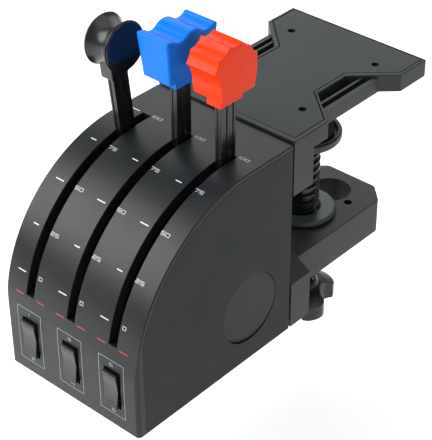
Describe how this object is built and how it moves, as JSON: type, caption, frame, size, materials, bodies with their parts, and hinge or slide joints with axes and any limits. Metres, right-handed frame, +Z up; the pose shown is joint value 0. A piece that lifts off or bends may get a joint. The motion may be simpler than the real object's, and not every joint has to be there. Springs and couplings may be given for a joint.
{
  "type": "three-lever throttle quadrant",
  "caption": "Desk-clamped throttle quadrant: curved slotted housing, three pivoting levers with shaped knobs, rocker switches, and a screw clamp that grips a desk edge.",
  "frame": {"origin": "middle of the clamp's seat: the underside of the grip pad under the top plate, on the clamp screw's axis", "axes": "+X to the user's right along the lever pivot, +Y away from the user towards the desk, +Z up"},
  "size_m": [0.118, 0.2952, 0.29],
  "materials": {
    "base_plastic": "matte black",
    "black_gloss": "polished black",
    "black_knob": "satin near-black",
    "blue_knob": "satin, bright blue",
    "board": "green solder mask",
    "bracket_plastic": "matte dark grey",
    "brass_standoff": "turned",
    "cap_plastic": "satin, charcoal",
    "chip_epoxy": "matte black with bright legs",
    "clamp_plastic": "fine matte texture, charcoal",
    "cradle_plastic": "matte black",
    "friction_disc": "brown friction disc",
    "gear_nylon": "natural white",
    "grip_rubber": "soft, ribbed",
    "housing_plastic": "fine matte texture, charcoal",
    "knob_plastic": "satin charcoal",
    "lever_plastic": "satin near-black",
    "nut_plastic": "satin charcoal",
    "pad_plastic": "satin charcoal",
    "panel_plastic": "fine matte texture, charcoal",
    "pot_case": "dark blue case",
    "pressed_steel": "zinc plated",
    "red_knob": "satin, red-orange",
    "rocker_plastic": "satin charcoal",
    "screw_plastic": "satin charcoal",
    "screw_steel": "black zinc",
    "seal_felt": "black felt",
    "side_plastic": "fine matte texture, charcoal",
    "socket_shell": "bright plated",
    "spacer_nylon": "natural white",
    "spring_steel": "black spring steel",
    "steel": "ground",
    "switch_black": "satin black"
  },
  "bodies": {
    "quadrant": {"arm_screws": "screw_steel", "base_plate": "base_plastic", "board_standoffs": "brass_standoff", "bracket_frame": "clamp_plastic", "bracket_screws": "screw_steel", "bracket_top_panel": "panel_plastic", "chassis_screws": "screw_steel", "clamp_arm": "clamp_plastic", "controller_chip": "chip_epoxy", "curved_cover": "housing_plastic", "desk_grip_pad": "grip_rubber", "flanged_nut": "nut_plastic", "friction_washers": "friction_disc", "housing_screws": "screw_steel", "inlet_socket": "socket_shell", "main_board": "board", "nut_screws": "screw_steel", "pivot_cap_left": "cap_plastic", "pivot_cap_right": "cap_plastic", "pivot_shaft": "steel", "pot_brackets": "pressed_steel", "potentiometer_1": "pot_case", "potentiometer_2": "pot_case", "potentiometer_3": "pot_case", "rear_panel": "base_plastic", "rocker_cradle_1": "cradle_plastic", "rocker_cradle_2": "cradle_plastic", "rocker_cradle_3": "cradle_plastic", "rocker_pins": "steel", "shaft_clips": "spring_steel", "shaft_spacers": "spacer_nylon", "shaft_support_left": "bracket_plastic", "shaft_support_right": "bracket_plastic", "side_panel_left": "side_plastic", "side_panel_right": "side_plastic", "slot_seal_1": "seal_felt", "slot_seal_2": "seal_felt", "slot_seal_3": "seal_felt", "switch_board": "board", "tact_switches": "switch_black"},
    "throttle_arm": {"throttle_lever": "lever_plastic", "throttle_knob": "black_knob", "throttle_knob_cap": "black_gloss"},
    "propeller_arm": {"propeller_lever": "lever_plastic", "propeller_knob": "blue_knob"},
    "mixture_arm": {"mixture_lever": "lever_plastic", "mixture_knob": "red_knob"},
    "pinion_1": {"pot_pinion_1": "gear_nylon"},
    "pinion_2": {"pot_pinion_2": "gear_nylon"},
    "pinion_3": {"pot_pinion_3": "gear_nylon"},
    "switch_rocker_1": {"rocker_1": "rocker_plastic"},
    "switch_rocker_2": {"rocker_2": "rocker_plastic"},
    "switch_rocker_3": {"rocker_3": "rocker_plastic"},
    "clamp_pad": {"pressure_pad": "pad_plastic", "pad_rubber": "grip_rubber"},
    "clamp_spindle": {"clamp_screw": "screw_plastic", "clamp_knob": "knob_plastic", "retaining_screws": "screw_steel"}
  },
  "joints": [
    {"name": "throttle_swing", "type": "hinge", "parent": "quadrant", "child": "throttle_arm", "pos_m": [-0.0372, -0.126, -0.0935], "axis": [1, 0, 0], "range_deg": [-7, 68]},
    {"name": "propeller_swing", "type": "hinge", "parent": "quadrant", "child": "propeller_arm", "pos_m": [0, -0.126, -0.0935], "axis": [1, 0, 0], "range_deg": [0, 75]},
    {"name": "mixture_swing", "type": "hinge", "parent": "quadrant", "child": "mixture_arm", "pos_m": [0.0372, -0.126, -0.0935], "axis": [1, 0, 0], "range_deg": [0, 75]},
    {"name": "pinion_1_spin", "type": "hinge", "parent": "quadrant", "child": "pinion_1", "pos_m": [-0.0427, -0.126, -0.1215], "axis": [1, 0, 0], "range_deg": [-250.33, 26.67]},
    {"name": "pinion_2_spin", "type": "hinge", "parent": "quadrant", "child": "pinion_2", "pos_m": [-0.0055, -0.126, -0.1215], "axis": [1, 0, 0], "range_deg": [-276, 1]},
    {"name": "pinion_3_spin", "type": "hinge", "parent": "quadrant", "child": "pinion_3", "pos_m": [0.0317, -0.126, -0.1215], "axis": [1, 0, 0], "range_deg": [-276, 1]},
    {"name": "rocker_1_tilt", "type": "hinge", "parent": "quadrant", "child": "switch_rocker_1", "pos_m": [-0.0372, -0.226, -0.10505], "axis": [1, 0, 0], "range_deg": [-7, 7], "stiffness_Nm_per_rad": 0.05},
    {"name": "rocker_2_tilt", "type": "hinge", "parent": "quadrant", "child": "switch_rocker_2", "pos_m": [0, -0.226, -0.10505], "axis": [1, 0, 0], "range_deg": [-7, 7], "stiffness_Nm_per_rad": 0.05},
    {"name": "rocker_3_tilt", "type": "hinge", "parent": "quadrant", "child": "switch_rocker_3", "pos_m": [0.0372, -0.226, -0.10505], "axis": [1, 0, 0], "range_deg": [-7, 7], "stiffness_Nm_per_rad": 0.05},
    {"name": "screw_turn", "type": "hinge", "parent": "clamp_pad", "child": "clamp_spindle", "pos_m": [0, 0, -0.0755], "axis": [0, 0, 1], "range_deg": [-2818.5, 1974.75]},
    {"name": "pad_slide", "type": "slide", "parent": "quadrant", "child": "clamp_pad", "axis": [0, 0, 1], "range_m": [-0.05, 0.035]}
  ],
  "couplings": [
    {"joint": "pinion_1_spin", "follows": "throttle_swing", "ratio": -3.6667},
    {"joint": "pinion_2_spin", "follows": "propeller_swing", "ratio": -3.6667},
    {"joint": "pinion_3_spin", "follows": "mixture_swing", "ratio": -3.6667},
    {"joint": "screw_turn", "follows": "pad_slide", "rad_per_m": 981.75}
  ]
}
